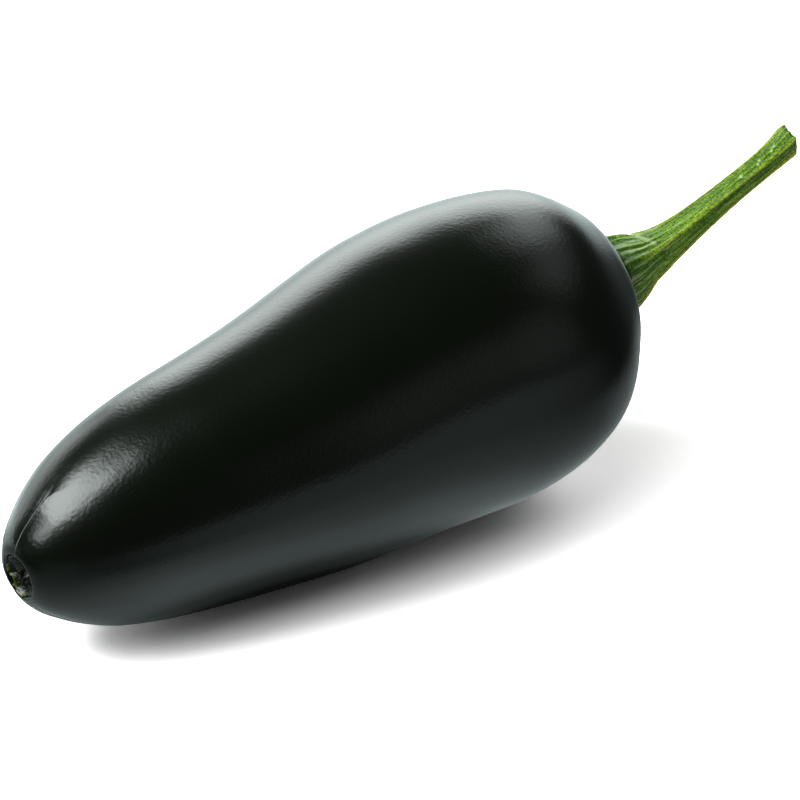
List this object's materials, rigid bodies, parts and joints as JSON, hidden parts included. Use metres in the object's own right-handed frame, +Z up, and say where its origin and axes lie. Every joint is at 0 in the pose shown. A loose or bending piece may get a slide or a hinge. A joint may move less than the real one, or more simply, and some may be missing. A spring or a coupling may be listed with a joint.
{
  "type": "chilli pepper",
  "caption": "Fresh dark green chilli pepper of the blunt jalapeno kind, picked with its ribbed green stalk and lying on its side.",
  "frame": {"origin": "under the middle of the lying pepper's box, on the surface that it rests on", "axes": "+X from the blossom end to the stem end, +Z up from the resting surface, +Y across the pod"},
  "size_m": [0.1032, 0.0332, 0.0333],
  "materials": {
    "pod_skin": "waxy, glossy plant skin, near-black green",
    "stem_green": "fresh green plant stalk, satin, finely grained along its ribs"
  },
  "bodies": {
    "root": {"pod": "pod_skin", "stem": "stem_green"}
  },
  "joints": []
}
